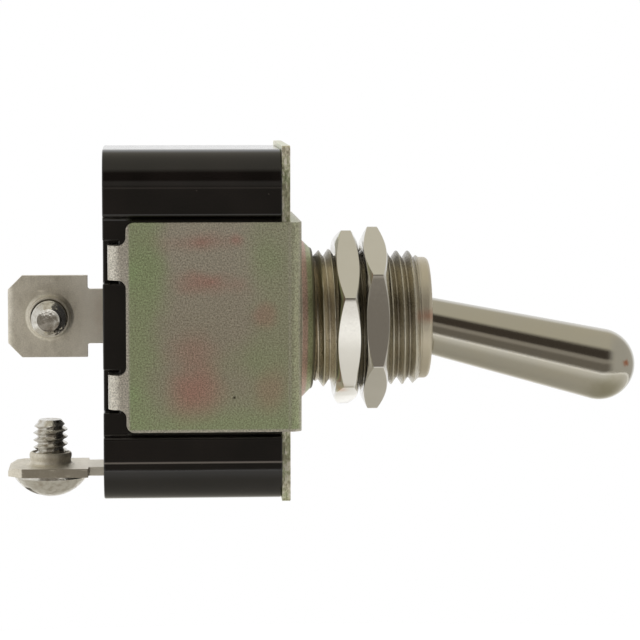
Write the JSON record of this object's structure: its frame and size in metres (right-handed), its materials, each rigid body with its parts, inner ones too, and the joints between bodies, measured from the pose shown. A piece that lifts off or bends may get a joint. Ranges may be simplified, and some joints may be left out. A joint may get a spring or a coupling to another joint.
{
  "type": "panel toggle switch",
  "caption": "Panel toggle switch: black case in a plated steel strap, threaded bushing with hexagon nuts, bat lever and screw terminals.",
  "frame": {"origin": "on the bushing's axis, in the outer face of the strap's web", "axes": "+X along the bushing, out of the panel; +Z along the case's long side, the way the lever is thrown to close the switch; +Y completes the frame, along the lever's pivot axis"},
  "size_m": [0.0555, 0.018, 0.031],
  "materials": {
    "phenolic": "glossy moulded",
    "fibre_sheet": "matte pressed fibre",
    "plate_zinc": "zinc plated, yellow chromate",
    "strap_zinc": "zinc plated, iridescent yellow chromate",
    "bushing_nickel": "nickel plated, turned",
    "nut_nickel": "nickel plated, bright",
    "lever_nickel": "nickel plated, turned",
    "pin_steel": "drawn",
    "nylon": "moulded",
    "spring_steel": "drawn wire",
    "copper": "rolled strip",
    "silver": "crowned contact face",
    "terminal_nickel": "nickel plated brass, satin",
    "screw_nickel": "nickel plated"
  },
  "bodies": {
    "body": {"case": "phenolic", "insulating_sheet": "fibre_sheet", "cover_plate": "plate_zinc", "mounting_strap": "strap_zinc", "bushing": "bushing_nickel", "fulcrum_cradle": "copper", "common_terminal": "terminal_nickel", "load_terminal": "terminal_nickel", "fixed_contact_button": "silver"},
    "lever": {"lever": "lever_nickel", "lever_pin": "pin_steel", "plunger_spring": "spring_steel"},
    "plunger": {"plunger": "nylon"},
    "rocker": {"rocker_contact": "copper", "moving_contact_button": "silver"},
    "inner_nut": {"inner_nut": "nut_nickel"},
    "outer_nut": {"outer_nut": "nut_nickel"},
    "common_screw": {"common_screw": "screw_nickel"},
    "load_screw": {"load_screw": "screw_nickel"}
  },
  "joints": [
    {"name": "lever_toggle", "type": "hinge", "parent": "body", "child": "lever", "pos_m": [0.00868, 0, 0], "axis": [0, -1, 0], "range_deg": [0, 26.2]},
    {"name": "plunger_slide", "type": "slide", "parent": "lever", "child": "plunger", "axis": [-0.974, 0, 0.2267], "range_m": [-0.0008, 0], "stiffness_N_per_m": 800, "springref_m": 0.0015, "deforming": ["plunger_spring"]},
    {"name": "rocker_tilt", "type": "hinge", "parent": "body", "child": "rocker", "pos_m": [-0.0119, 0, 0], "axis": [0, 1, 0], "range_deg": [0, 17]},
    {"name": "inner_nut_run", "type": "slide", "parent": "body", "child": "inner_nut", "axis": [1, 0, 0], "range_m": [-0.0015, 0]},
    {"name": "outer_nut_run", "type": "slide", "parent": "body", "child": "outer_nut", "axis": [1, 0, 0], "range_m": [0, 0.0035]},
    {"name": "common_screw_out", "type": "slide", "parent": "body", "child": "common_screw", "axis": [0, 1, 0], "range_m": [0, 0.0028]},
    {"name": "load_screw_out", "type": "slide", "parent": "body", "child": "load_screw", "axis": [0, 0, -1], "range_m": [0, 0.0028]}
  ],
  "couplings": [
    {"joint": "rocker_tilt", "follows": "lever_toggle", "ratio": 0.64885}
  ]
}
